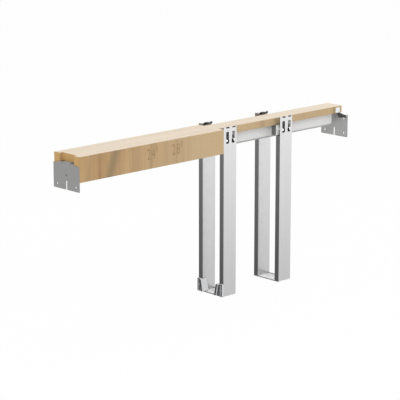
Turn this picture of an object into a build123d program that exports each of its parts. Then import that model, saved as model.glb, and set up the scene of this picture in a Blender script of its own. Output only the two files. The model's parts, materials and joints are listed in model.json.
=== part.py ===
"""Pocket door frame for a timber-stud wall.

A timber header carries an aluminium track, and hangs between two sheet steel end brackets.
Over the door opening, on the left, two deep fascia boards close the header's sides. Over the
pocket, on the right, two pairs of hollow steel studs hang from it and stand on floor plates,
with room for the door to slide between the front and the rear stud of each pair.

Millimetres. X runs along the header, from the door opening to the end of the pocket, Y runs
from the front of the wall to its rear, and Z is up. The origin is the middle of the left end
bracket's outer face, which is nailed to the wall's stud.
"""

from build123d import *
import os

# Overall sizes
wall_depth = 88.9
header_length = 917.0
frame_height = 428.0
opening_length = 463.0
stud_spacing = 200.0

# Header timber
fascia_height = 61.0
fascia_thickness = 19.0
plank_thickness = 18.5
plank_recess = 8.5
board_edge = 0.8

# Track
track_width = 30.0
track_height = 32.0
track_wall = 1.8
track_slot = 12.0
track_rail_height = 4.0
track_splay_height = 4.5
track_splay_run = 2.5

# End brackets, of sheet steel
bracket_width = 91.0
bracket_height = 60.0
bracket_thickness = 2.0
bracket_drop = 23.0
bracket_corner = 1.5
bracket_slot_width = 5.4
bracket_slot_height = 21.0
crown_height = 3.5
crown_width = 50.0
crown_slope_run = 9.0
tongue_width = 26.2
tongue_length = 27.0
tongue_bend = 2.6
tongue_notch_width = 2.0
tongue_notch_depth = 3.5
nail_spacing_across = 66.0
nail_spacing_up = 39.0
nail_hole_radius = 2.8
centre_hole_radius = 2.4
centre_hole_height = 4.0
ear_slope = 0.42
inner_ear_height = 14.5
outer_ear_height = 12.3
ear_from_side = 3.5

# Studs, of folded sheet steel
stud_width = 44.0
stud_depth = 14.6
stud_wall = 1.2
stud_corner = 1.0
stud_rise = 4.0
shoulder_below_plank = 25.5
stud_slot_width = 9.5
stud_slot_height = 30.0
stud_slot_below_header_top = 7.0
stud_slot_corner = 3.0
stud_slot_spacing = 21.0
stud_slot_offset = 1.2
lip_width = 3.5
lip_corner = 1.0
lip_opening_width = 11.5
lip_opening_depth = 2.8
lip_opening_offset = 1.5

# Spacers and clips between the studs and the track
spacer_wall = 1.5
clip_wall = 1.5
clip_side_gap = 2.0
clip_arm_height = 6.0
clip_arm_above_slot_foot = 6.0
clip_clearance = 0.3

# Floor plates
floor_plate_thickness = 1.5
floor_plate_lip = 1.6
floor_ear_width = 28.0
floor_ear_height = 14.0
floor_clearance = 0.3
floor_nail_spacing = 32.0
floor_nail_radius = 2.5

# Door guides
guide_height = 32.5
guide_depth = 4.5
guide_wall = 2.3
guide_rim_width = 9.8
guide_clearance = 0.3
fin_ahead = 10.2
fin_length = 21.5
fin_lean = 5.5

# Pale plate on the plank's front edge
edge_tab_width = 14.5
edge_tab_height = 13.0
edge_tab_thickness = 1.0
edge_tab_from_end = 8.5
edge_tab_above_foot = 1.5

# Levels, from the origin at the bracket's middle
header_top = bracket_height / 2 + bracket_drop
plank_bottom = header_top - plank_thickness
track_bottom = plank_bottom - track_height
shoulder = plank_bottom - shoulder_below_plank
floor_level = header_top - frame_height
stud_foot = floor_level + floor_plate_thickness
stud_top = header_top + stud_rise
stud_slot_foot = header_top - stud_slot_below_header_top - stud_slot_height

# Places along and across the frame
header_start = bracket_thickness
header_end = header_start + header_length
plank_width = wall_depth - 2 * fascia_thickness
mouth_x = header_start + opening_length
pocket_half = wall_depth / 2 - stud_depth
stud_middle_y = wall_depth / 2 - stud_depth / 2

os.makedirs("parts", exist_ok=True)


def keep(piece, name):
    """Label a finished piece and write its file."""
    piece.part.label = name
    export_step(piece.part, f"parts/{name}.step")


# Timber header: the plank carries everything, the fascias close the door opening's half
with BuildPart() as header_plank:
    with BuildSketch(Plane.YZ.offset(header_start + plank_recess)):
        with Locations((0, header_top - plank_thickness / 2)):
            Rectangle(plank_width, plank_thickness)
    extrude(amount=header_length - plank_recess)
    chamfer(header_plank.edges().filter_by(Axis.X), board_edge)
keep(header_plank, "header_plank")

for side, name in ((-1, "front_fascia"), (1, "rear_fascia")):
    fascia_middle = (side * (wall_depth - fascia_thickness) / 2, header_top - fascia_height / 2)
    with BuildPart() as fascia:
        with BuildSketch(Plane.YZ.offset(header_start)):
            with Locations(fascia_middle):
                Rectangle(fascia_thickness, fascia_height)
        extrude(amount=opening_length)
        chamfer(fascia.edges().filter_by(Axis.X), board_edge)
    keep(fascia, name)

# Track: a box section with splayed sides at its foot, open below, with a rail each side of its slot
track_start = header_start + tongue_length
track_length = header_length - 2 * tongue_length
track_side = track_width / 2
splay_top = track_bottom + track_splay_height
with BuildPart() as track:
    with BuildSketch(Plane.YZ.offset(track_start)):
        with BuildLine():
            Polyline(
                (-track_side, plank_bottom),
                (track_side, plank_bottom),
                (track_side, splay_top),
                (track_side - track_splay_run, track_bottom),
                (track_splay_run - track_side, track_bottom),
                (-track_side, splay_top),
                close=True,
            )
        make_face()
        offset(amount=-track_wall, mode=Mode.SUBTRACT)
        with Locations((0, track_bottom + track_wall / 2)):
            Rectangle(track_slot, track_wall, mode=Mode.SUBTRACT)
        for side in (-1, 1):
            rail_y = side * (track_slot + track_wall) / 2
            with Locations((rail_y, track_bottom + track_wall + track_rail_height / 2)):
                Rectangle(track_wall, track_rail_height)
    extrude(amount=track_length)
keep(track, "track")


def end_bracket(name, outer_x, inward, leaning_ears):
    """Nail plate with a crowned top, a tongue screwed under the plank and a slot up its middle.

    inward is +1 where the header lies towards +X of the plate. Leaning ears are the plate's
    top corners, pressed in over the header's side where no fascia stands in their way.
    """
    plate_top = bracket_height / 2
    crown_top = plate_top + crown_height
    crown_side = crown_width / 2
    notch_y = (tongue_width + tongue_notch_width) / 2
    notch_foot = crown_top - tongue_notch_depth
    inner_x = outer_x + inward * bracket_thickness
    tongue_tip = inner_x + inward * tongue_length
    tongue_under = plank_bottom - bracket_thickness
    with BuildSketch(Plane.YZ) as outline:
        with BuildLine():
            Polyline(
                (-bracket_width / 2, -plate_top),
                (-bracket_width / 2, plate_top),
                (-crown_side - crown_slope_run, plate_top),
                (-crown_side, crown_top),
                (crown_side, crown_top),
                (crown_side + crown_slope_run, plate_top),
                (bracket_width / 2, plate_top),
                (bracket_width / 2, -plate_top),
                close=True,
            )
        make_face()
        plate_corners = outline.vertices().group_by(Axis.X)
        fillet(plate_corners[0] + plate_corners[-1], bracket_corner)
    # each ear as the place of its inner side, its width and the height of its foot
    ears = []
    if leaning_ears:
        ear_start = notch_y + tongue_notch_width / 2
        ear_end = bracket_width / 2 - ear_from_side
        ears.append((ear_start, crown_side - ear_start, crown_top - inner_ear_height))
        ears.append((crown_side, ear_end - crown_side, crown_top - outer_ear_height))
    with BuildPart() as bracket:
        with BuildSketch(Plane.YZ.offset(min(outer_x, inner_x))):
            add(outline.sketch_local)
            with Locations((0, (bracket_slot_height - bracket_height) / 2)):
                Rectangle(bracket_slot_width, bracket_slot_height, mode=Mode.SUBTRACT)
            with GridLocations(2 * notch_y, 0, 2, 1):
                with Locations((0, crown_top)):
                    Rectangle(tongue_notch_width, 2 * tongue_notch_depth, mode=Mode.SUBTRACT)
            with GridLocations(nail_spacing_across, nail_spacing_up, 2, 2):
                Circle(nail_hole_radius, mode=Mode.SUBTRACT)
            with Locations((0, centre_hole_height)):
                Circle(centre_hole_radius, mode=Mode.SUBTRACT)
            for start, width, foot in ears:
                with GridLocations(2 * start + width, 0, 2, 1):
                    with Locations((0, (foot + crown_top) / 2)):
                        Rectangle(width, crown_top - foot, mode=Mode.SUBTRACT)
        extrude(amount=bracket_thickness)
        # the ears lean in from their feet, and are trimmed to the plate's outline
        for start, width, foot in ears:
            lean = inward * ear_slope * (crown_top - foot)
            for start_y in (start, -start - width):
                with BuildSketch(Plane.XZ.offset(-start_y)):
                    with BuildLine():
                        Polyline(
                            (outer_x, foot),
                            (inner_x, foot),
                            (inner_x + lean, crown_top),
                            (outer_x + lean, crown_top),
                            close=True,
                        )
                    make_face()
                extrude(amount=-width)
        with BuildSketch(Plane.YZ.offset(outer_x)):
            add(outline.sketch_local)
        extrude(amount=inward * tongue_length, mode=Mode.INTERSECT)
        # the tongue, bent in under the plank
        with BuildSketch(Plane.XZ.offset(tongue_width / 2)):
            with BuildLine():
                Polyline(
                    (outer_x, notch_foot),
                    (inner_x, notch_foot),
                    (inner_x, tongue_under),
                    (tongue_tip, tongue_under),
                    (tongue_tip, plank_bottom),
                    (outer_x + inward * tongue_bend, plank_bottom),
                    (outer_x, plank_bottom - tongue_bend),
                    close=True,
                )
            make_face()
        extrude(amount=-tongue_width)
    keep(bracket, name)


end_bracket("left_end_bracket", 0, 1, leaning_ears=False)
end_bracket("right_end_bracket", header_end + bracket_thickness, -1, leaning_ears=True)


def stud(name, left_x, side):
    """Hollow stud whose slotted face runs on up past the header's top to a lip folded inwards."""
    middle_x = left_x + stud_width / 2
    face_y = side * wall_depth / 2
    face_inner_y = face_y - side * stud_wall
    lip_y = face_y - side * lip_width
    slot_middle = middle_x + stud_slot_offset
    with BuildPart() as piece:
        with BuildSketch(Plane.XY.offset(stud_foot)) as section:
            with Locations((middle_x, side * stud_middle_y)):
                Rectangle(stud_width, stud_depth)
                fillet(section.vertices(), stud_corner)
                Rectangle(stud_width - 2 * stud_wall, stud_depth - 2 * stud_wall, mode=Mode.SUBTRACT)
        extrude(amount=shoulder - stud_foot)
        # the face above the shoulder, and its lip
        with BuildSketch(Plane.YZ.offset(left_x)) as bent_sheet:
            with BuildLine():
                Polyline(
                    (face_y, shoulder),
                    (face_y, stud_top),
                    (lip_y, stud_top),
                    (lip_y, stud_top - stud_wall),
                    (face_inner_y, stud_top - stud_wall),
                    (face_inner_y, shoulder),
                    close=True,
                )
            make_face()
            top_corners = bent_sheet.vertices().group_by(Axis.Y)[-1]
            fillet(top_corners.sort_by(Axis.X)[0 if side < 0 else -1], lip_corner)
        extrude(amount=stud_width)
        # two tall slots in the face, for the clip's arms
        with BuildSketch(Plane.XZ.offset(-min(face_y, face_inner_y))):
            with Locations((slot_middle, stud_slot_foot + stud_slot_height / 2)):
                with GridLocations(stud_slot_spacing, 0, 2, 1):
                    RectangleRounded(stud_slot_width, stud_slot_height, stud_slot_corner)
        extrude(amount=-stud_wall, mode=Mode.SUBTRACT)
        # above the slots, two openings through the lip and the top of the face
        with BuildSketch(Plane.XY.offset(stud_top)):
            with Locations((slot_middle + lip_opening_offset, (face_y + lip_y) / 2)):
                with GridLocations(stud_slot_spacing, 0, 2, 1):
                    Rectangle(lip_opening_width, lip_width)
        extrude(amount=-lip_opening_depth, mode=Mode.SUBTRACT)
    keep(piece, name)


def spacer(name, left_x, side):
    """Short tube under the plank, between the track's side and the stud's clip."""
    depth = pocket_half - track_width / 2
    middle = (left_x + stud_width / 2, side * (pocket_half + track_width / 2) / 2)
    with BuildPart() as piece:
        with BuildSketch(Plane.XY.offset(shoulder)):
            with Locations(middle):
                Rectangle(stud_width, depth)
                Rectangle(stud_width - 2 * spacer_wall, depth - 2 * spacer_wall, mode=Mode.SUBTRACT)
        extrude(amount=plank_bottom - shoulder)
    keep(piece, name)


def clip(name, left_x, side):
    """Plate on the spacer, with two arms forward through the slots in the stud's face."""
    middle_x = left_x + stud_width / 2
    web_width = stud_width - 2 * clip_side_gap
    web_height = plank_bottom - shoulder
    arm_reach = wall_depth / 2 - pocket_half
    arm_from_slot = clip_clearance - stud_slot_width / 2 + clip_wall / 2
    arms_middle = middle_x + stud_slot_offset + arm_from_slot
    with BuildPart() as piece:
        with BuildSketch(Plane.XY.offset(shoulder)):
            with Locations((middle_x, side * (pocket_half + clip_wall / 2))):
                Rectangle(web_width, clip_wall)
        extrude(amount=web_height)
        with BuildSketch(Plane.XY.offset(stud_slot_foot + clip_arm_above_slot_foot)):
            with Locations((arms_middle, side * (pocket_half + arm_reach / 2))):
                with GridLocations(stud_slot_spacing, 0, 2, 1):
                    Rectangle(clip_wall, arm_reach)
        extrude(amount=clip_arm_height)
    keep(piece, name)


def floor_plate(name, left_x):
    """Plate under a stud pair, with low side lips and an ear up inside each stud."""
    middle_x = left_x + stud_width / 2
    ear_y = wall_depth / 2 - stud_wall - floor_clearance - floor_plate_thickness / 2
    lip_length = 2 * (pocket_half - floor_clearance)
    lip_x = (stud_width - floor_plate_thickness) / 2
    with BuildPart() as piece:
        with BuildSketch(Plane.XY.offset(floor_level)):
            with Locations((middle_x, 0)):
                Rectangle(stud_width, wall_depth)
                with GridLocations(0, floor_nail_spacing, 1, 2):
                    Circle(floor_nail_radius, mode=Mode.SUBTRACT)
        extrude(amount=floor_plate_thickness)
        with BuildSketch(Plane.XY.offset(stud_foot)):
            with Locations((middle_x - lip_x, 0), (middle_x + lip_x, 0)):
                Rectangle(floor_plate_thickness, lip_length)
        extrude(amount=floor_plate_lip)
        with BuildSketch(Plane.XY.offset(stud_foot)):
            with Locations((middle_x, -ear_y), (middle_x, ear_y)):
                Rectangle(floor_ear_width, floor_plate_thickness)
        extrude(amount=floor_ear_height)
    keep(piece, name)


def door_guide(name, side):
    """Moulded guide on a mouth stud: a rimmed body on its end, and a fin that leads the door in."""
    foot, crown = stud_foot, stud_foot + guide_height
    outer = side * wall_depth / 2
    rim_inner = outer - side * guide_rim_width
    fin_top = side * (pocket_half - guide_clearance)
    fin_bottom = fin_top - side * fin_lean
    fin_foot = foot + floor_plate_lip + guide_clearance
    fin_start = mouth_x - fin_ahead
    rim_middle = ((outer + rim_inner) / 2, (foot + crown) / 2)
    with BuildPart() as piece:
        # back plate against the stud's end, reaching in to the fin
        with BuildSketch(Plane.YZ.offset(mouth_x - guide_wall)):
            with BuildLine():
                Polyline(
                    (outer, foot),
                    (outer, crown),
                    (fin_top - side * guide_wall, crown),
                    (fin_bottom - side * guide_wall, fin_foot),
                    (side * pocket_half, foot),
                    close=True,
                )
            make_face()
        extrude(amount=guide_wall)
        # rim round the body's outer part
        with BuildSketch(Plane.YZ.offset(mouth_x - guide_depth)):
            with Locations(rim_middle):
                Rectangle(guide_rim_width, guide_height)
                Rectangle(
                    guide_rim_width - 2 * guide_wall,
                    guide_height - 2 * guide_wall,
                    mode=Mode.SUBTRACT,
                )
        extrude(amount=guide_depth)
        # fin, leaning in towards the door at its foot
        with BuildSketch(Plane.YZ.offset(fin_start)):
            with BuildLine():
                Polyline(
                    (fin_top, crown),
                    (fin_top - side * guide_wall, crown),
                    (fin_bottom - side * guide_wall, fin_foot),
                    (fin_bottom, fin_foot),
                    close=True,
                )
            make_face()
        extrude(amount=fin_length)
        # cap that ties the fin to the body
        with BuildSketch(Plane.XY.offset(crown - guide_wall)):
            with BuildLine():
                Polyline(
                    (fin_start, fin_top - side * guide_wall),
                    (mouth_x, fin_top - side * guide_wall),
                    (mouth_x, rim_inner),
                    (mouth_x - guide_depth, rim_inner),
                    (fin_start, fin_top),
                    close=True,
                )
            make_face()
        extrude(amount=guide_wall)
    keep(piece, name)


# Two pairs of studs: at the pocket's mouth, and half way along the pocket
for place, left_x in (("mouth", mouth_x), ("middle", mouth_x + stud_spacing)):
    floor_plate(f"{place}_floor_plate", left_x)
    for where, side in (("front", -1), ("rear", 1)):
        stud(f"{place}_{where}_stud", left_x, side)
        spacer(f"{place}_{where}_spacer", left_x, side)
        clip(f"{place}_{where}_clip", left_x, side)

for where, side in (("front", -1), ("rear", 1)):
    door_guide(f"{where}_door_guide", side)

edge_tab_x = header_end - edge_tab_from_end - edge_tab_width / 2
edge_tab_z = plank_bottom + edge_tab_above_foot + edge_tab_height / 2
with BuildPart() as edge_tab:
    with BuildSketch(Plane.XZ.offset(plank_width / 2)):
        with Locations((edge_tab_x, edge_tab_z)):
            Rectangle(edge_tab_width, edge_tab_height)
    extrude(amount=edge_tab_thickness)
keep(edge_tab, "edge_tab")
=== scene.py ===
# %% [markdown]
# A pocket door frame: the timber header, track and split steel studs that hold a sliding door
# inside a wall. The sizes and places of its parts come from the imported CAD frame. This lesson
# gives every part its finish, and adds the small pieces that are too fine for the frame.

# %% Load the frame
import json
import math

import bmesh
import bpy
from mathutils import Matrix, Vector


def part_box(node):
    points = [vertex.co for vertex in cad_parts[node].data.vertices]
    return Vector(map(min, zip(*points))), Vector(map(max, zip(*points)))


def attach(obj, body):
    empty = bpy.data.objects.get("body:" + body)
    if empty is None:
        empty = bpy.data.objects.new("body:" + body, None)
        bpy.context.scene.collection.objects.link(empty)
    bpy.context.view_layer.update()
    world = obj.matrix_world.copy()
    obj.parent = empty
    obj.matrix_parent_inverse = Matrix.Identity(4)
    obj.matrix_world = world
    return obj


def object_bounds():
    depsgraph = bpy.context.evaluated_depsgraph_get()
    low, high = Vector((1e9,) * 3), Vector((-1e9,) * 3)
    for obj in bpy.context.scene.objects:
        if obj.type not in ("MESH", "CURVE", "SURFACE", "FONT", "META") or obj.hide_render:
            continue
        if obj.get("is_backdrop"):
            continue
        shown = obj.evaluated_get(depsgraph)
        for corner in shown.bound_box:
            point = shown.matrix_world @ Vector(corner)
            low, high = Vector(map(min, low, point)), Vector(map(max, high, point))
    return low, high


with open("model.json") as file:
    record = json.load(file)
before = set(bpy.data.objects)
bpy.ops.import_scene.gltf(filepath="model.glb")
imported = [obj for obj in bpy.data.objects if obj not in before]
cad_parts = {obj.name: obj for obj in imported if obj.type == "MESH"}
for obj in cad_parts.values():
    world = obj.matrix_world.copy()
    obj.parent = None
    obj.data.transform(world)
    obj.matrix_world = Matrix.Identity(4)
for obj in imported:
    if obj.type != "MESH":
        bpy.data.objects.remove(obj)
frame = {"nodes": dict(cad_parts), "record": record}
cad_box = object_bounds()
print("frame:", len(frame["nodes"]), "nodes, box", [round(v, 4) for corner in cad_box for v in corner])

# %% [markdown]
# The camera stands where the photographer's did: to the front left and a little above, far off
# with a long lens, so that the header's edges run almost parallel. Its direction is given by two
# angles, because that is how a viewing angle is measured.

# %% Camera
view_azimuth = math.radians(-43.962)
view_elevation = math.radians(13.472)
view_lens_mm = 160.95
camera_place = Vector((-2.5596, -3.0966, 0.9053))

towards_camera = Vector((
    math.sin(view_azimuth) * math.cos(view_elevation),
    -math.cos(view_azimuth) * math.cos(view_elevation),
    math.sin(view_elevation),
))
camera = bpy.data.objects.new("camera", bpy.data.cameras.new("camera"))
camera.data.sensor_width = 36
camera.data.lens = view_lens_mm
camera.data.clip_end = 100
camera.location = camera_place
camera.rotation_mode = "QUATERNION"
camera.rotation_quaternion = (-towards_camera).to_track_quat("-Z", "Y")
bpy.context.collection.objects.link(camera)
bpy.context.scene.camera = camera
bpy.context.scene.view_settings.view_transform = "Standard"
print("camera:", view_lens_mm, "mm lens,", round(camera_place.length, 2), "m from the part's origin")

# %% [markdown]
# A material is a tree of nodes. Building one in code is mostly adding a node, setting it up and
# wiring it to others, so one function does all three: what it is given for a socket is either a
# value or another node's output. Colours are written as they are read off a screen, in hex, and
# turned to the linear light that the renderer works in.

# %% Helpers for materials
def linear(hex_colour):
    """The linear RGBA of an sRGB hex colour such as c3a57d."""
    shares = [int(hex_colour[i:i + 2], 16) / 255 for i in (0, 2, 4)]
    return tuple(s / 12.92 if s <= 0.04045 else ((s + 0.055) / 1.055) ** 2.4 for s in shares) + (1.0,)


def add(tree, kind, sockets=(), **settings):
    """Add a node, set its properties, and fill its sockets with values or other nodes' outputs."""
    node = tree.nodes.new("ShaderNode" + kind)
    for name, value in settings.items():
        setattr(node, name, value)
    for socket, value in dict(sockets).items():
        if isinstance(value, bpy.types.NodeSocket):
            tree.links.new(value, node.inputs[socket])
        else:
            node.inputs[socket].default_value = value
    return node


def new_material(name):
    """An empty node material with its output node."""
    material = bpy.data.materials.new(name)
    material.use_nodes = True
    tree = material.node_tree
    tree.nodes.clear()
    output = tree.nodes.new("ShaderNodeOutputMaterial")
    return material, tree, output


def finish_material(tree, output, shader):
    """Wire the last shader to the material's output."""
    tree.links.new(shader.outputs[0], output.inputs["Surface"])


# %% [markdown]
# The object stands on a plain pale floor. The background of the picture is white because the
# world and the floor look white to the camera, and in reflections, while the light that they
# give stays modest. The floor keeps a faint shadow, since a share of what the camera sees of it
# is still its own lit surface.

# %% Which rays see the white background
def seen_directly(tree):
    """1 for rays from the camera and in reflections and glass, 0 for light that only bounces."""
    path = add(tree, "LightPath")
    camera_or_glossy = add(tree, "Math", {0: path.outputs["Is Camera Ray"],
                                          1: path.outputs["Is Glossy Ray"]}, operation="MAXIMUM")
    return add(tree, "Math", {0: camera_or_glossy.outputs[0],
                              1: path.outputs["Is Transmission Ray"]}, operation="MAXIMUM").outputs[0]


# %% Floor
part_middle = Vector((0.46, 0, -0.1))
floor_level = cad_box[0].z
floor_half = 14.0
floor_gap = 0.0001
floor_plain_white = 0.96

mesh = bmesh.new()
bmesh.ops.create_grid(mesh, x_segments=1, y_segments=1, size=floor_half,
                      matrix=Matrix.Translation((part_middle.x, 0, floor_level - floor_gap)))
floor_mesh = bpy.data.meshes.new("floor")
mesh.to_mesh(floor_mesh)
mesh.free()
floor = bpy.data.objects.new("floor", floor_mesh)
bpy.context.collection.objects.link(floor)
floor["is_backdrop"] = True

material, tree, output = new_material("studio floor, matt white")
paint = add(tree, "BsdfPrincipled", {"Base Color": linear("f2f2f0"), "Roughness": 0.9,
                                     "Specular IOR Level": 0.1})
white = add(tree, "Emission", {"Color": (1, 1, 1, 1), "Strength": 1.0})
share = add(tree, "Math", {0: seen_directly(tree), 1: floor_plain_white}, operation="MULTIPLY")
finish_material(tree, output, add(tree, "MixShader", {0: share.outputs[0], 1: paint.outputs[0],
                                                      2: white.outputs[0]}))
floor.data.materials.append(material)
print("floor at", round(floor_level, 4), "m,", 2 * floor_half, "m wide")

# %% World
world_light = 0.62

world = bpy.data.worlds.new("studio")
world.use_nodes = True
world.node_tree.nodes.clear()
sky = add(world.node_tree, "MapRange", {0: seen_directly(world.node_tree), 3: world_light, 4: 1.0})
sky_light = add(world.node_tree, "Background", {0: (1, 1, 1, 1), 1: sky.outputs[0]})
world_output = world.node_tree.nodes.new("ShaderNodeOutputWorld")
world.node_tree.links.new(sky_light.outputs[0], world_output.inputs["Surface"])
bpy.context.scene.world = world
print("world:", world_light, "of full light")

# %% [markdown]
# Two square lamps light the part. The strong one stands high to the front left, because the
# fronts are pale and the sides darker, and the weak one overhead lifts the header's top. Both are
# large, so that no shadow has a hard edge.

# %% Lamps
def soft_lamp(name, place, aim, size, power):
    """A square area lamp that shines from place towards aim."""
    lamp = bpy.data.objects.new(name, bpy.data.lights.new(name, "AREA"))
    lamp.data.shape = "SQUARE"
    lamp.data.size = size
    lamp.data.energy = power
    lamp.location = place
    lamp.rotation_mode = "QUATERNION"
    lamp.rotation_quaternion = (aim - Vector(place)).to_track_quat("-Z", "Y")
    bpy.context.collection.objects.link(lamp)
    print("lamp:", name, power, "W,", size, "m wide")


soft_lamp("key lamp", (-3.0, -5.4, 6.4), part_middle, 4.2, 360)
soft_lamp("top lamp", (0.9, 0.6, 3.2), part_middle, 2.2, 20)

# %% [markdown]
# Pine boards. A board is sawn from a trunk, so its sawn ends show rings round the pith, and its
# faces show what the saw met: here broad soft bands of warm and grey tone across the board's
# face, with fibres between them. The pattern could be painted on as a picture. It is worked out
# from each point's own place instead, so that it runs on round the corners and through every
# board at its real scale: rings 5 to 6.5 mm apart, bands 60 and 10 mm wide, flecks of 2 mm, and
# fibres 1.4 mm wide, which is as fine as still shows.

# %% Wood: the parts that every board's pattern is made of
def scaled_noise(tree, place, per_metre, shift=0.0, detail=2.0):
    """Noise with so many waves a metre along X, Y and Z."""
    stretched = add(tree, "Mapping", {"Vector": place, "Scale": per_metre,
                                      "Location": (shift, shift, 0)})
    noise = add(tree, "TexNoise", {"Vector": stretched.outputs[0], "Scale": 1.0, "Detail": detail})
    return noise.outputs[0]


def ranged(tree, value, low, high, to_low=0.0, to_high=1.0):
    """Turn a value between low and high into one between to_low and to_high, clamped."""
    return add(tree, "MapRange", {0: value, 1: low, 2: high, 3: to_low, 4: to_high}).outputs[0]


def blended(tree, share, first, second):
    """A mix of two colours, each a hex value or another node's output."""
    colours = [linear(c) if isinstance(c, str) else c for c in (first, second)]
    return add(tree, "Mix", {0: share, 6: colours[0], 7: colours[1]}, data_type="RGBA").outputs[2]


def multiplied(tree, first, second):
    """The product of two numbers."""
    return add(tree, "Math", {0: first, 1: second}, operation="MULTIPLY").outputs[0]


def shaded(tree, colour, shade):
    """A colour made a little darker or lighter by a number near 1."""
    return add(tree, "VectorMath", {0: colour, 1: shade}, operation="MULTIPLY").outputs[0]


def facing_parts(tree):
    """How far the surface faces along X, either way, and how far it faces up."""
    normal = add(tree, "SeparateXYZ", {0: add(tree, "NewGeometry").outputs["Normal"]}).outputs
    endwise = add(tree, "Math", {0: normal["X"]}, operation="ABSOLUTE").outputs[0]
    return endwise, normal["Z"]


def ring_pattern(tree, place, pith_mm, ring_mm, seed):
    """0 in early wood, 1 in late wood, in rings about a pith along X at pith_mm = (y, z)."""
    centred = add(tree, "Mapping", {"Vector": place,
                                    "Location": (0, -pith_mm[0] / 1000, -pith_mm[1] / 1000)})
    across = add(tree, "VectorMath", {0: centred.outputs[0], 1: (0, 1, 1)}, operation="MULTIPLY")
    radius = add(tree, "VectorMath", {0: across.outputs[0]}, operation="LENGTH")
    wander = ranged(tree, scaled_noise(tree, place, (3, 25, 25), seed, 3.0), 0, 1, -0.006, 0.006)
    wandered = add(tree, "Math", {0: radius.outputs["Value"], 1: wander}, operation="ADD")
    turns = multiplied(tree, wandered.outputs[0], 1000 / ring_mm)
    ring = add(tree, "Math", {0: turns}, operation="FRACT")
    late = add(tree, "ValToRGB", {0: ring.outputs[0]})
    late.color_ramp.elements[0].position = 0.3
    late.color_ramp.elements[1].position = 0.88
    closing = late.color_ramp.elements.new(1.0)
    closing.color = (0, 0, 0, 1)
    return late.outputs[0]


# %% [markdown]
# Three kinds of surface meet on a board, and the normal tells them apart: a side faces front or
# rear, the top faces up, is planed and is given a paler colour, which is painted light from above,
# and a sawn end faces along the board, where the cut fibres are deeper in colour. A few marks are
# listed one by one: a grey band that leans across the long board near its left end, a darker
# spot on the plank, and two painted shades on the plank, beside the middle front stud and
# beside the end tab.

# %% Wood: the sides of a board
def board_side(tree, place, late, seed, stains_and_shades):
    """Broad and narrow bands with flecks, paling along the board, and then the marks: real stains and
    painted shade.

    Each mark is its place along the board, its half width, its lean and its strength.
    """
    along = add(tree, "SeparateXYZ", {0: place})
    broad = ranged(tree, scaled_noise(tree, place, (17, 2.5, 2.5), seed), 0.36, 0.64)
    narrow = ranged(tree, scaled_noise(tree, place, (95, 6, 6), seed * 2), 0.34, 0.66)
    flecks = ranged(tree, scaled_noise(tree, place, (420, 14, 14), seed * 3, 3.0), 0.3, 0.7)
    side = blended(tree, broad, "a5815c", "be9d70")
    side = blended(tree, multiplied(tree, narrow, 0.45), side, "c5a67a")
    side = blended(tree, multiplied(tree, flecks, 0.3), side, "977450")
    paling = ranged(tree, along.outputs["X"], 0.08, 0.36, 0.0, 0.6)
    side = blended(tree, paling, side, "cbb592")
    side = blended(tree, multiplied(tree, late, 0.08), side, "9f7e56")
    # these marks are stains, and on the plank also painted shade
    for stain_shade_at, stain_shade_half, stain_shade_lean, strength in stains_and_shades:
        lean = add(tree, "Math", {0: along.outputs["Z"], 1: -stain_shade_lean, 2: along.outputs["X"]},
                   operation="MULTIPLY_ADD").outputs[0]
        away = add(tree, "Math", {0: lean, 1: stain_shade_at}, operation="SUBTRACT").outputs[0]
        away = add(tree, "Math", {0: away}, operation="ABSOLUTE").outputs[0]
        stain_shade = ranged(tree, away, stain_shade_half * 0.15, stain_shade_half, strength, 0.0)
        side = blended(tree, stain_shade, side, "8f7c5e")
    return side


# %% [markdown]
# The top gets its own streaks, long and thin, because a planed face shows the rings as lines
# along the board. The whole material then picks side, top or end by the normal, and a slight
# bump lets the fibres catch the light. Planed and unfinished wood scatters most light, so it is
# rough, with a weak gloss.

# %% Wood: planed pine
def board_top(tree, place, seed):
    """A face paler than the sides, which is painted light, with warm and fine streaks along the board,
    palest at its far end.
    """
    along = add(tree, "SeparateXYZ", {0: place})
    warm_streaks = ranged(tree, scaled_noise(tree, place, (4, 130, 40), seed, 3.0), 0.38, 0.62)
    top = blended(tree, warm_streaks, "d9ceba", "e4d3c0")
    top = blended(tree, ranged(tree, along.outputs["X"], 0.4, 0.9, 0.0, 0.5), top, "eaddca")
    fine_streaks = ranged(tree, scaled_noise(tree, place, (9, 420, 90), seed, 3.0), 0.45, 0.7)
    return blended(tree, multiplied(tree, fine_streaks, 0.3), top, "d2bfa4")


def planed_pine(name, pith_mm, ring_mm, seed, stains_and_shades):
    """Planed pine: banded sides, a pale streaked top and ringed ends."""
    material, tree, output = new_material(name)
    place = add(tree, "TexCoord").outputs["Object"]
    late = ring_pattern(tree, place, pith_mm, ring_mm, seed)
    fibres = scaled_noise(tree, place, (22, 700, 700), seed, 4.0)
    side = board_side(tree, place, late, seed, stains_and_shades)
    top = board_top(tree, place, seed)
    end = blended(tree, multiplied(tree, late, 0.5), "cea76c", "ab8650")
    endwise, upward = facing_parts(tree)
    # painted light: the top is given a far paler colour than the sides
    colour = blended(tree, ranged(tree, upward, 0.6, 0.8), side, top)
    colour = blended(tree, ranged(tree, endwise, 0.6, 0.8), colour, end)
    colour = shaded(tree, colour, ranged(tree, fibres, 0.3, 0.7, 0.98, 1.015))
    bump = add(tree, "Bump", {"Height": fibres, "Strength": 0.25, "Distance": 0.0004})
    wood = add(tree, "BsdfPrincipled", {"Base Color": colour, "Roughness": 0.62,
                                        "Specular IOR Level": 0.3, "Normal": bump.outputs[0]})
    finish_material(tree, output, wood)
    print("wood:", name, "with", len(tree.nodes), "nodes")
    return material


fascia_stains = [(0.096, 0.021, 0.36, 0.8), (0.03, 0.012, 0.1, 0.3), (0.222, 0.012, 0.2, 0.3)]
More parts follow.
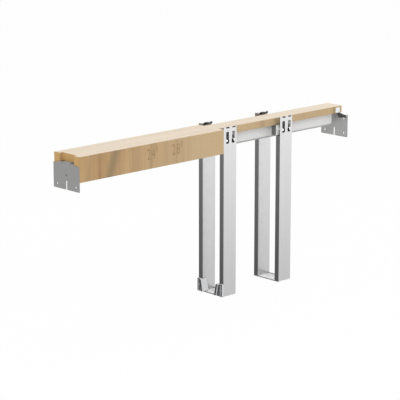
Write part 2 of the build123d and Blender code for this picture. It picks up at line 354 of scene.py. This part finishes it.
# the plank's second and third marks are painted shade: beside the middle front stud, and the shade line
# left of the end tab
plank_stains_and_shades = [(0.62, 0.014, 0.0, 0.42), (0.668, 0.009, 0.0, 0.25), (0.889, 0.006, 0.0, 0.7)]
fascia_pine = planed_pine("planed pine board", (10, -95), 6.5, 1.7, fascia_stains)
plank_pine = planed_pine("planed pine plank", (-40, 20), 5.0, 5.2, plank_stains_and_shades)

# %% [markdown]
# Sheet steel with a zinc coat. Rolled strip is bright, and its colour is the colour of what it
# reflects. Hot dipped plate is dull, since a skin of oxide scatters the light, so it is only
# part metal. Both get a faint spangle, the crystals of the zinc, and soft clouds. Shade is
# painted on: the cut and folded sides along X get a darker colour than the rolled faces,
# surfaces that look down get a darker one too, and on the studs both grow darker towards the floor.
# The small plates that would mirror only dark surroundings are given no metal share at all; the
# clip and the floor plate get a near-white colour in its place, which is painted light.

# %% Steel and aluminium
def zinc_sheet(name, face_hex, side_hex, under_hex, roughness, metallic=1.0, spangle_mm=8,
               foot_shares=(1.0, 1.0)):
    """Zinc coated sheet, in colours for faces to front and rear, and painted shade colours for sides and
    for undersides.

    foot_shares say how bright faces and sides still are at the floor, in painted shade.
    """
    material, tree, output = new_material(name)
    place = add(tree, "TexCoord").outputs["Object"]
    endwise, upward = facing_parts(tree)
    # painted shade: sides along X and surfaces that look down get their darker colours
    sideways = ranged(tree, endwise, 0.55, 0.8)
    colour = blended(tree, sideways, face_hex, side_hex)
    colour = blended(tree, ranged(tree, upward, -0.2, -0.35), colour, under_hex)
    height = add(tree, "SeparateXYZ", {0: place}).outputs["Z"]
    foot_share = ranged(tree, sideways, 0, 1, *foot_shares)
    # painted shade: darker towards the floor, as far as foot_shares say
    painted_floor_shade = ranged(tree, height, cad_box[0].z, cad_box[1].z, foot_share, 1.0)
    spangle = add(tree, "TexVoronoi", {"Vector": place, "Scale": 1000 / spangle_mm})
    flake = add(tree, "SeparateColor", {0: spangle.outputs["Color"]}).outputs[0]
    clouds = add(tree, "TexNoise", {"Vector": place, "Scale": 55.0, "Detail": 3.0}).outputs[0]
    # marks of the rolls run up the studs, drawn 3 mm wide so that they show
    rolled = ranged(tree, scaled_noise(tree, place, (330, 330, 2)), 0.35, 0.65, 0.985, 1.012)
    shade = multiplied(tree, ranged(tree, flake, 0, 1, 0.994, 1.005), rolled)
    colour = shaded(tree, colour, multiplied(tree, shade, painted_floor_shade))
    rough = ranged(tree, clouds, 0.3, 0.7, roughness - 0.03, roughness + 0.04)
    metal = add(tree, "BsdfPrincipled", {"Base Color": colour, "Metallic": metallic, "Roughness": rough})
    finish_material(tree, output, metal)
    print("metal:", name)
    return material


# painted shade on every sheet here: darker sides along X and undersides, and on the studs darker towards
# the floor
stud_zinc = zinc_sheet("bright galvanised stud", "e9e9e9", "757575", "b8b8b8", 0.3,
                       foot_shares=(0.68, 0.5))
bracket_zinc = zinc_sheet("dull galvanised plate", "949494", "969696", "585858", 0.55, metallic=0.2)
# painted light and shade: a copy of the plate's zinc for the right plate, paler on its sides along X
# against the header's shade, and darker on its faces to front and rear
right_plate_painted_light_shade_zinc = zinc_sheet("dull galvanised plate, right, painted light and shade", "6a6a6a", "b2b2b2", "4a4a4a",
                                0.55, metallic=0.2)
spacer_zinc = zinc_sheet("galvanised spacer", "f2f3f4", "888886", "9a9a9a", 0.4)
# painted light: the clip and the floor plate get no metal and a near-white colour, in place of the
# bright reflection that they would show
clip_zinc = zinc_sheet("galvanised clip, painted light", "fdfdfd", "eaeaea", "c8c8c8", 0.5, metallic=0.0)
floor_zinc = zinc_sheet("galvanised floor plate, painted light", "ffffff", "8e8e90", "a0a0a0", 0.45,
                        metallic=0.0)
track_aluminium = zinc_sheet("extruded aluminium, satin", "dedede", "a0a0a2", "b2b2b4", 0.5,
                             metallic=0.25, spangle_mm=14)

# %% [markdown]
# Moulded plastic is plain: one colour, a soft gloss and the faint unevenness of the mould. Its
# sides along X can be given a darker grey, which is painted shade: the door guides' faces towards
# the opening are painted so, which sets off their pale fronts.

# %% Plastic
def moulded_plastic(name, colour_hex, side_hex, roughness):
    """Moulded plastic, drawn 1.5 mm coarse, in a colour for its body and a painted shade colour for its
    sides along X.
    """
    material, tree, output = new_material(name)
    place = add(tree, "TexCoord").outputs["Object"]
    endwise, _ = facing_parts(tree)
    body = blended(tree, ranged(tree, endwise, 0.6, 0.85), colour_hex, side_hex)
    grain = add(tree, "TexNoise", {"Vector": place, "Scale": 650.0, "Detail": 2.0}).outputs[0]
    colour = shaded(tree, body, ranged(tree, grain, 0.3, 0.7, 0.97, 1.03))
    bump = add(tree, "Bump", {"Height": grain, "Strength": 0.15, "Distance": 0.0002})
    plastic = add(tree, "BsdfPrincipled", {"Base Color": colour, "Roughness": roughness,
                                           "Normal": bump.outputs[0]})
    finish_material(tree, output, plastic)
    print("plastic:", name)
    return material


# painted shade: the guides' sides along X are far darker than their fronts
guide_plastic = moulded_plastic("nylon, sides painted in shade", "dcdddf", "565658", 0.45)
tab_plastic = moulded_plastic("pale bare plate", "ecf1f8", "ecf1f8", 0.5)

# %% [markdown]
# The frame's own parts keep their shape, and only change their finish. A part's material sits in
# its object's slots, so the new one is put there.

# %% Dress the frame's parts
finishes = {
    "plank_wood": plank_pine,
    "fascia_wood": fascia_pine,
    "track_aluminium": track_aluminium,
    "bracket_steel": bracket_zinc,
    "stud_steel": stud_zinc,
    "spacer_steel": spacer_zinc,
    "clip_steel": clip_zinc,
    "floor_plate_steel": floor_zinc,
    "guide_plastic": guide_plastic,
    "tab_plastic": tab_plastic,
}
for part in frame["record"]["subparts"]:
    for slot in frame["nodes"][part["node"]].material_slots:
        slot.material = finishes[part["material_slot"]]
# the right plate gets its copy with painted light and shade
frame["nodes"]["right_end_bracket"].material_slots[0].material = right_plate_painted_light_shade_zinc

# %% [markdown]
# The small pieces are too fine for the frame, so they are made here: hooks behind the studs'
# slots, screws, nails and the printed scale. Each is a bmesh that starts from a ready shape. Two
# helpers come first. One adds a block with soft edges, and one turns a finished bmesh into a
# piece that belongs to the part.

# %% Helpers for small pieces
def block(mesh, low, high, edge=0.0):
    """Add a block between two corners in millimetres, its edges rounded by edge."""
    low, high = Vector(low) / 1000, Vector(high) / 1000
    verts = bmesh.ops.create_cube(mesh, size=1.0)["verts"]
    bmesh.ops.scale(mesh, vec=high - low, verts=verts)
    bmesh.ops.translate(mesh, vec=(low + high) / 2, verts=verts)
    if edge:
        edges = list({e for v in verts for e in v.link_edges})
        bmesh.ops.bevel(mesh, geom=edges, offset=edge / 1000, affect="EDGES", segments=2,
                        profile=0.5, material=-1)


def new_piece(name, mesh, material):
    """Make a finished bmesh a piece of the part, in a material and on the part's only body."""
    bmesh.ops.recalc_face_normals(mesh, faces=mesh.faces)
    data = bpy.data.meshes.new(name)
    mesh.to_mesh(data)
    mesh.free()
    piece = bpy.data.objects.new(name, data)
    bpy.context.collection.objects.link(piece)
    piece.data.materials.append(material)
    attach(piece, "root")
    print("piece:", name, len(data.polygons), "faces")


# %% [markdown]
# Behind the two slots of a stud hangs the hook plate that locks the stud to its clip. Its black
# is painted shade, the dark depth of the slots, and the dull pads before it are darker greys of
# painted shade too. Its hooks stand up behind the openings in a front stud's lip, and a rear stud
# has lower hooks, which lie against its face; their black and dark grey are painted shade under
# the studs' tops. The plate is flat stock with punched pads, so it is made of thin blocks that
# lie face to face. Places along X are counted from the stud's left side. In each slot a pale tab
# sits on the clip's arm, and a black latch on the stud's face holds the arm's end; its black is
# painted shade at the foot of the slot.

# %% Hook plates behind the slots
# painted shade: black and dark greys for the depth of the slots and the hollows under the studs' tops
painted_shade_black = zinc_sheet("blackened steel", "0c0c0d", "0c0c0d", "0c0c0d", 0.6)
dark_painted_shade_zinc = zinc_sheet("dark zinc, painted shade", "5c5c5d", "505051", "464646", 0.55, metallic=0.0)
shaded_zinc = zinc_sheet("zinc plate, in shade", "909090", "707070", "606060", 0.5, metallic=0.0)

# depths behind the stud's face, and heights above the part's origin, in millimetres
plate_depth = (3.8, 4.6)
pad_depth = (2.6, 3.8)
tab_depth = (0.1, 1.2)
latch_depth = (-0.2, 0.0)
tip_depth = (1.2, 4.6)
plate_top = 47.5
hook_below_lip = 0.8
hook_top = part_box("mouth_front_stud")[1].z * 1000 - hook_below_lip
stamped_edge = 0.08

# each piece's material, its depth behind the face, and its blocks as low X, low Z, high X, high Z
hook_pieces = {
    "hook_plate": (painted_shade_black, plate_depth, [
        (7.1, 28, 39.3, plate_top),
        (9.8, 12, 18.5, 28),
        (30.8, 12, 39.3, 28),
    ]),
    "left_pads": (dark_painted_shade_zinc, pad_depth, [(8.9, 36.4, 16, 49.5), (8.9, 28.6, 16, 34.2)]),
    "right_pad": (shaded_zinc, pad_depth, [(29.5, 35.6, 38.5, 49.5)]),
    "low_right_pad": (dark_painted_shade_zinc, pad_depth, [(34.6, 29.6, 38.5, 34.6)]),
    "left_arm_tab": (clip_zinc, tab_depth, [(8.1, 20.6, 14, 25.6)]),
    "right_arm_tab": (clip_zinc, tab_depth, [
        (33.2, 23, 38.3, 27.2),
        (34.6, 20.4, 38.3, 23),
        (35.8, 18.6, 38.3, 20.4),
    ]),
    "left_latch": (painted_shade_black, latch_depth, [(8.6, 16.3, 14, 20.6), (14, 18, 18.2, 25.8)]),
    "right_latch": (painted_shade_black, latch_depth, [
        (27.5, 23, 33.2, 26.8),
        (27.5, 20.4, 34.8, 23),
        (28, 16.9, 36, 20.4),
    ]),
}
# the hooks' black and dark grey are painted shade under the studs' tops
front_hooks = {
    "left_hook": (painted_shade_black, plate_depth, [(10.5, plate_top, 22.5, hook_top)]),
    "right_hook": (dark_painted_shade_zinc, plate_depth, [(28.5, plate_top, 43.5, hook_top)]),
    "left_hook_tail": (shaded_zinc, plate_depth, [(-6, hook_top - 1.4, 10.5, hook_top - 0.2)]),
}
rear_hooks = {
    "left_hook": (painted_shade_black, tip_depth, [(13.5, 51.2, 22.5, 55.2)]),
    "right_hook": (dark_painted_shade_zinc, tip_depth, [(27, 51.2, 43.5, 55.2)]),
    "left_hook_tail": (shaded_zinc, tip_depth, [(0.5, 52.6, 13.5, 54.4)]),
}


def hook_piece(stud_name, piece_name, material, depths, rectangles):
    """Blocks behind a stud's face, between two depths, as one piece."""
    low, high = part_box(stud_name)
    side = 1 if low.y > 0 else -1
    face_y = side * max(abs(low.y), abs(high.y)) * 1000
    left_x = low.x * 1000
    ys = sorted(face_y - side * depth for depth in depths)
    mesh = bmesh.new()
    for x_from, z_from, x_to, z_to in rectangles:
        block(mesh, (left_x + x_from, ys[0], z_from), (left_x + x_to, ys[1], z_to),
              edge=stamped_edge)
    new_piece(f"{stud_name}_{piece_name}", mesh, material)


for stud_name, hooks in (("mouth_front_stud", front_hooks), ("mouth_rear_stud", rear_hooks),
                         ("middle_front_stud", front_hooks), ("middle_rear_stud", rear_hooks)):
    for piece_name, (material, depths, rectangles) in (hook_pieces | hooks).items():
        hook_piece(stud_name, piece_name, material, depths, rectangles)

# %% [markdown]
# Screws with pan heads and a cross recess hold the end brackets' tongues and the track up to the
# plank, and one holds each door guide to its stud. The head starts as a square grid, because a
# grid has the middle cross of faces that the recess needs. Its points are then moved onto a
# dome, the cross is extruded inwards, and the rim is extruded down to the seat. The cross is
# measured in the grid's steps, and the dome and the recess as shares of the head's height.

# %% Screws
screw_zinc = zinc_sheet("zinc plated screw", "c8cacc", "b4b6b8", "b4b6b8", 0.3)
head_steps = 9
dome_fall = 0.45
cross_half_width = 0.4
cross_reach = 2.6
recess_depth = 0.5
recess_taper = 0.8


def screw_head(mesh, seat, facing, radius, height):
    """Add a pan head that stands on seat, in millimetres, and faces along a direction."""
    head = bmesh.new()
    bmesh.ops.create_grid(head, x_segments=head_steps, y_segments=head_steps, size=1.0)
    # the square's points move onto a disc, and the disc becomes a dome
    for vert in head.verts:
        x, y = vert.co.x, vert.co.y
        vert.co.x = x * math.sqrt(1 - y * y / 2)
        vert.co.y = y * math.sqrt(1 - x * x / 2)
        vert.co.z = 1 - dome_fall * (vert.co.x ** 2 + vert.co.y ** 2)
    step = 2 / head_steps
    cross = []
    for face in head.faces:
        middle = face.calc_center_median().xy
        in_an_arm = min(abs(middle.x), abs(middle.y)) < cross_half_width * step
        if in_an_arm and middle.length < cross_reach * step:
            cross.append(face)
    rim = [e for e in head.edges if e.is_boundary]
    sunk = bmesh.ops.extrude_face_region(head, geom=cross)["geom"]
    sunk_verts = [g for g in sunk if isinstance(g, bmesh.types.BMVert)]
    bmesh.ops.translate(head, vec=(0, 0, -recess_depth), verts=sunk_verts)
    bmesh.ops.scale(head, vec=(recess_taper, recess_taper, 1), verts=sunk_verts)
    skirt = bmesh.ops.extrude_edge_only(head, edges=rim)["geom"]
    for vert in [g for g in skirt if isinstance(g, bmesh.types.BMVert)]:
        vert.co.z = 0
    bmesh.ops.holes_fill(head, edges=[e for e in head.edges if e.is_boundary], sides=0)
    bmesh.ops.delete(head, geom=[f for f in cross if f.is_valid], context="FACES_ONLY")
    bmesh.ops.scale(head, vec=(radius / 1000, radius / 1000, height / 1000), verts=head.verts)
    turn = Vector(facing).to_track_quat("Z", "Y").to_matrix().to_4x4()
    bmesh.ops.transform(head, matrix=Matrix.Translation(Vector(seat) / 1000) @ turn, verts=head.verts)
    made = bpy.data.meshes.new("head")
    head.to_mesh(made)
    head.free()
    mesh.from_mesh(made)
    bpy.data.meshes.remove(made)


# %% Screws in the end brackets' tongues
def box_mm(node_name):
    """A node's lowest and highest corners in millimetres."""
    return [corner * 1000 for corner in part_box(node_name)]


bracket_sheet = 2.0
tongue_screw_radius = 3.6
tongue_screw_height = 2.0
from_tongue_end = 9
from_tongue_middle = 7

left_low, left_high = box_mm("left_end_bracket")
right_low, right_high = box_mm("right_end_bracket")
tongue_foot = box_mm("header_plank")[0].z - bracket_sheet
screws = bmesh.new()
for seat_x in (left_high.x - from_tongue_end, right_low.x + from_tongue_end):
    for seat_y in (-from_tongue_middle, from_tongue_middle):
        screw_head(screws, (seat_x, seat_y, tongue_foot), (0, 0, -1), tongue_screw_radius,
                   tongue_screw_height)
new_piece("tongue_screws", screws, screw_zinc)

# %% Screws inside the track
track_wall = 1.8
track_screws = 6
track_screw_radius = 4.0
track_screw_height = 2.2

track_low, track_high = box_mm("track")
screws = bmesh.new()
for i in range(track_screws):
    share = (i + 0.5) / track_screws
    seat_x = track_low.x + share * (track_high.x - track_low.x)
    screw_head(screws, (seat_x, 0, track_high.z - track_wall), (0, 0, -1), track_screw_radius,
               track_screw_height)
new_piece("track_screws", screws, screw_zinc)

# %% Screws of the door guides, driven a little into their plastic
guide_rim = 9.8
guide_screw_seat = 1.5
guide_screw_radius = 2.7
guide_screw_height = 1.8

mouth_x = box_mm("mouth_front_stud")[0].x
screws = bmesh.new()
for guide in ("front_door_guide", "rear_door_guide"):
    low, high = box_mm(guide)
    outer_y = low.y if low.y < 0 else high.y
    seat_y = outer_y - math.copysign(guide_rim / 2, outer_y)
    seat = (mouth_x - guide_screw_seat, seat_y, (low.z + high.z) / 2)
    screw_head(screws, seat, (-1, 0, 0), guide_screw_radius, guide_screw_height)
new_piece("guide_screws", screws, screw_zinc)

# %% [markdown]
# Each door guide's fin ends in a thicker lip that meets the door's edge first, in a dark grey
# that is painted shade along the fin's leading edge.
# It leans outwards with the fin, so it starts as an upright block, and its points then slide
# sideways in proportion to their height.

# %% Lips of the door guides' fins
# painted shade: the lip's dark grey
lip_plastic = moulded_plastic("nylon, dark grey as painted shade", "4a4a4c", "3c3c3e", 0.5)
fin_lean = 5.5
fin_foot = 1.9
lip_length = 1.6
lip_width = 3.7
lip_edge = 0.3

for guide in ("front_door_guide", "rear_door_guide"):
    low, high = box_mm(guide)
    side = 1 if high.y > 0 else -1
    inner_y = high.y if side < 0 else low.y
    ys = sorted((inner_y, inner_y + side * lip_width))
    lip_foot = low.z + fin_foot
    shape = bmesh.new()
    block(shape, (low.x, ys[0], lip_foot), (low.x + lip_length, ys[1], high.z), edge=lip_edge)
    for vert in shape.verts:
        rise = (vert.co.z * 1000 - lip_foot) / (high.z - lip_foot)
        vert.co.y += side * fin_lean * rise / 1000
    new_piece(guide + "_lip", shape, lip_plastic)

# %% [markdown]
# The left end plate's two upper nail holes lie over the boards' ends, and nails fill them, as one
# fills the right plate's middle hole: flat heads of the plate's own grey, flush with its face.

# %% Nails in the end plates
nail_across = 33.0
nail_up = 19.5
nail_radius = 2.75
middle_nail_up = 4.0
middle_nail_radius = 2.35
nail_length = 1.9


def nail_head(mesh, outer_x, y, z, radius):
    """Add a flat head within an end plate's thickness, in millimetres from its low X side."""
    seat = Matrix.Translation(Vector((outer_x + bracket_sheet / 2, y, z)) / 1000)
    bmesh.ops.create_cone(mesh, cap_ends=True, segments=24, radius1=radius / 1000,
                          radius2=radius / 1000, depth=nail_length / 1000,
                          matrix=seat @ Matrix.Rotation(math.radians(-90), 4, "Y"))


nails = bmesh.new()
for side in (-1, 1):
    nail_head(nails, left_low.x, side * nail_across, nail_up, nail_radius)
new_piece("left_plate_nails", nails, bracket_zinc)
nails = bmesh.new()
nail_head(nails, right_high.x - bracket_sheet, 0, middle_nail_up, middle_nail_radius)
new_piece("right_plate_nail", nails, right_plate_painted_light_shade_zinc)

# %% [markdown]
# A cutting scale is printed on the front board: a line down the board at each size, and the size
# in inches beside it, the tens left of the line and the units right of it. The ink has sunk into
# the wood, so it is only a darker brown. Text starts as a font curve, is made a mesh, and that
# mesh is fitted to the box that the print fills. It stands 0.05 mm off the wood.

# %% Printed scale
ink = moulded_plastic("brown stamping ink, soaked in", "9d8058", "9d8058", 0.7)
pale_ink = moulded_plastic("brown guide line, worn", "a98a62", "a98a62", 0.7)
board_low, board_high = box_mm("front_fascia")
print_proud = 0.05
letter_depth = 0.5


def printed(name, text, x_from, x_to, z_from, z_to):
    """Plain text on the front board, fitted between two places along it and two heights."""
    curve = bpy.data.curves.new(name, "FONT")
    curve.body = text
    curve.extrude = letter_depth
    letters = bpy.data.objects.new(name, curve)
    shape = bmesh.new()
    shape.from_mesh(letters.to_mesh())
    bpy.data.objects.remove(letters)
    bmesh.ops.remove_doubles(shape, verts=shape.verts, dist=1e-5)
    lows = Vector([min(v.co[i] for v in shape.verts) for i in range(3)])
    highs = Vector([max(v.co[i] for v in shape.verts) for i in range(3)])
    size = highs - lows
    for vert in shape.verts:
        share = [(vert.co[i] - lows[i]) / size[i] for i in range(3)]
        vert.co = (
            (x_from + share[0] * (x_to - x_from)) / 1000,
            (board_low.y - share[2] * print_proud) / 1000,
            (z_from + share[1] * (z_to - z_from)) / 1000,
        )
    new_piece(name, shape, ink)


# places beside each size's line, and heights: from and to, in millimetres
tens_across = (-13.0, -3.0)
units_across = (2.0, 12.0)
inches_across = (15.5, 19.5)
digit_heights = (15.0, 41.0)
inch_heights = (29.0, 44.0)
line_half_width = 0.9
line_margin = 1.0

for line_x, units in ((224.5, "4"), (305.0, "8")):
    line = bmesh.new()
    block(line, (line_x - line_half_width, board_low.y - print_proud, board_low.z + line_margin),
          (line_x + line_half_width, board_low.y, board_high.z - line_margin))
    new_piece(f"scale_line_2{units}", line, pale_ink)
    for sign, sign_name, across, heights in (
        ("2", f"scale_tens_2{units}", tens_across, digit_heights),
        (units, f"scale_units_{units}", units_across, digit_heights),
        ('"', f"scale_inches_{units}", inches_across, inch_heights),
    ):
        printed(sign_name, sign, line_x + across[0], line_x + across[1], *heights)

# %% [markdown]
# Last come two boxes: the frame's own, measured before anything was added, and that of the part
# as it is now dressed. How far each corner has moved between them is printed.

# %% Print how far the box's corners moved, and finish
visual_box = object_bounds()
for corner_name, was, now in zip(("lowest", "highest"), cad_box, visual_box):
    print(corner_name, "corner moved by", round((now - was).length, 6), "m")
